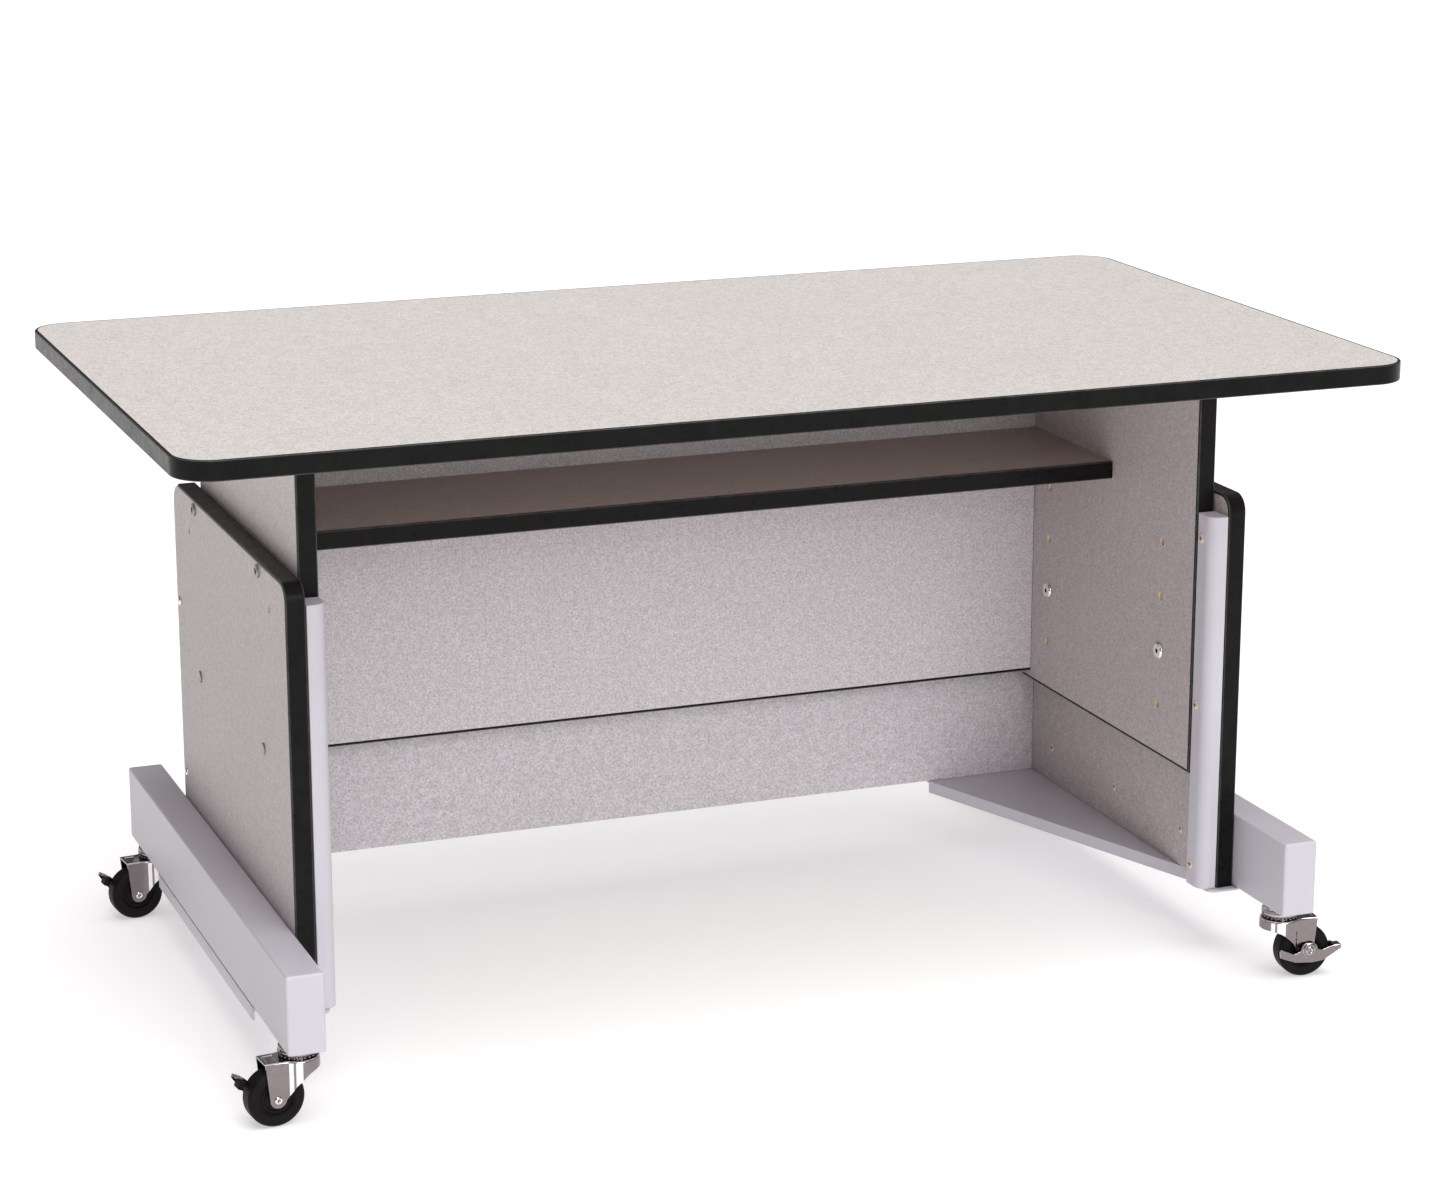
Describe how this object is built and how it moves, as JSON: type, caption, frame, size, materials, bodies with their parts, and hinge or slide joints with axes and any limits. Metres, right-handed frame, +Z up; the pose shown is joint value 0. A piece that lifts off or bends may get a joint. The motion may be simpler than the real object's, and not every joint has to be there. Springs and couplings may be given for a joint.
{
  "type": "teacher desk",
  "caption": "Height-adjustable teacher desk: laminate top and shelf on sliding sides, clamped in a lower unit on steel legs with braked swivel casters.",
  "frame": {"origin": "on the floor under the middle of the desk's top, where the casters' tyres stand", "axes": "+Z up, +X along the desk's width to the right as seen by somebody facing its open front, +Y towards its back panel"},
  "size_m": [1.2192, 0.6858, 0.635],
  "materials": {
    "top_laminate": "light grey speckled laminate on board, satin",
    "panel_laminate": "grey speckled laminate on board, satin",
    "edge_band": "black edge band, semi-gloss",
    "powder_coat": "light grey powder coat, semi-gloss",
    "chrome": "bright plating",
    "bolt_steel": "zinc plated",
    "rubber": "black rubber, matt",
    "hub_plastic": "black moulded plastic"
  },
  "bodies": {
    "lower_unit": {"outer_side_panel_left": "panel_laminate", "outer_side_panel_right": "panel_laminate", "outer_side_band_left": "edge_band", "outer_side_band_right": "edge_band", "lower_back_panel": "panel_laminate", "front_post_left": "powder_coat", "front_post_right": "powder_coat", "corner_plate_left": "powder_coat", "corner_plate_right": "powder_coat", "leg_tube_left": "powder_coat", "leg_tube_right": "powder_coat", "cap_nut_front_left": "bolt_steel", "cap_nut_front_right": "bolt_steel", "cap_nut_rear_left": "bolt_steel", "cap_nut_rear_right": "bolt_steel", "upper_bolt_front_left": "bolt_steel", "upper_bolt_front_right": "bolt_steel", "upper_bolt_rear_left": "bolt_steel", "upper_bolt_rear_right": "bolt_steel", "caster_stem_front_left": "chrome", "caster_stem_front_right": "chrome", "caster_stem_rear_left": "chrome", "caster_stem_rear_right": "chrome"},
    "upper_unit": {"tabletop": "top_laminate", "tabletop_edge_band": "edge_band", "inner_side_panel_left": "panel_laminate", "inner_side_panel_right": "panel_laminate", "inner_side_band_left": "edge_band", "inner_side_band_right": "edge_band", "upper_back_panel": "panel_laminate", "upper_back_band": "edge_band", "shelf": "panel_laminate", "shelf_band": "edge_band", "clamp_bolt_front_left": "bolt_steel", "clamp_bolt_front_right": "bolt_steel", "clamp_bolt_rear_left": "bolt_steel", "clamp_bolt_rear_right": "bolt_steel"},
    "caster_front_left": {"caster_fork_front_left": "chrome", "caster_axle_front_left": "chrome"},
    "wheel_front_left": {"caster_tyre_front_left": "rubber", "caster_hub_front_left": "hub_plastic"},
    "brake_front_left": {"brake_lever_front_left": "chrome"},
    "caster_front_right": {"caster_fork_front_right": "chrome", "caster_axle_front_right": "chrome"},
    "wheel_front_right": {"caster_tyre_front_right": "rubber", "caster_hub_front_right": "hub_plastic"},
    "brake_front_right": {"brake_lever_front_right": "chrome"},
    "caster_rear_left": {"caster_fork_rear_left": "chrome", "caster_axle_rear_left": "chrome"},
    "wheel_rear_left": {"caster_tyre_rear_left": "rubber", "caster_hub_rear_left": "hub_plastic"},
    "brake_rear_left": {"brake_lever_rear_left": "chrome"},
    "caster_rear_right": {"caster_fork_rear_right": "chrome", "caster_axle_rear_right": "chrome"},
    "wheel_rear_right": {"caster_tyre_rear_right": "rubber", "caster_hub_rear_right": "hub_plastic"},
    "brake_rear_right": {"brake_lever_rear_right": "chrome"}
  },
  "joints": [
    {"name": "height_slide", "type": "slide", "parent": "lower_unit", "child": "upper_unit", "axis": [0, 0, 1], "range_m": [-0.1156, 0.0578]},
    {"name": "caster_swivel_front_left", "type": "hinge", "parent": "lower_unit", "child": "caster_front_left", "pos_m": [-0.51055, -0.2975, 0.064], "axis": [0, 0, 1], "continuous": true},
    {"name": "wheel_spin_front_left", "type": "hinge", "parent": "caster_front_left", "child": "wheel_front_left", "pos_m": [-0.53492, -0.30006, 0.0275], "axis": [0.1045, -0.9945, 0], "continuous": true},
    {"name": "brake_rock_front_left", "type": "hinge", "parent": "caster_front_left", "child": "brake_front_left", "pos_m": [-0.53492, -0.30006, 0.0335], "axis": [0.1045, -0.9945, 0], "range_deg": [0, 25]},
    {"name": "caster_swivel_front_right", "type": "hinge", "parent": "lower_unit", "child": "caster_front_right", "pos_m": [0.51055, -0.2975, 0.064], "axis": [0, 0, 1], "continuous": true},
    {"name": "wheel_spin_front_right", "type": "hinge", "parent": "caster_front_right", "child": "wheel_front_right", "pos_m": [0.53492, -0.30006, 0.0275], "axis": [0.1045, 0.9945, 0], "continuous": true},
    {"name": "brake_rock_front_right", "type": "hinge", "parent": "caster_front_right", "child": "brake_front_right", "pos_m": [0.53492, -0.30006, 0.0335], "axis": [0.1045, 0.9945, 0], "range_deg": [-25, 0]},
    {"name": "caster_swivel_rear_left", "type": "hinge", "parent": "lower_unit", "child": "caster_rear_left", "pos_m": [-0.51055, 0.2975, 0.064], "axis": [0, 0, 1], "continuous": true},
    {"name": "wheel_spin_rear_left", "type": "hinge", "parent": "caster_rear_left", "child": "wheel_rear_left", "pos_m": [-0.53492, 0.29494, 0.0275], "axis": [0.1045, -0.9945, 0], "continuous": true},
    {"name": "brake_rock_rear_left", "type": "hinge", "parent": "caster_rear_left", "child": "brake_rear_left", "pos_m": [-0.53492, 0.29494, 0.0335], "axis": [0.1045, -0.9945, 0], "range_deg": [0, 25]},
    {"name": "caster_swivel_rear_right", "type": "hinge", "parent": "lower_unit", "child": "caster_rear_right", "pos_m": [0.51055, 0.2975, 0.064], "axis": [0, 0, 1], "continuous": true},
    {"name": "wheel_spin_rear_right", "type": "hinge", "parent": "caster_rear_right", "child": "wheel_rear_right", "pos_m": [0.53492, 0.29494, 0.0275], "axis": [0.1045, 0.9945, 0], "continuous": true},
    {"name": "brake_rock_rear_right", "type": "hinge", "parent": "caster_rear_right", "child": "brake_rear_right", "pos_m": [0.53492, 0.29494, 0.0335], "axis": [0.1045, 0.9945, 0], "range_deg": [-25, 0]}
  ]
}
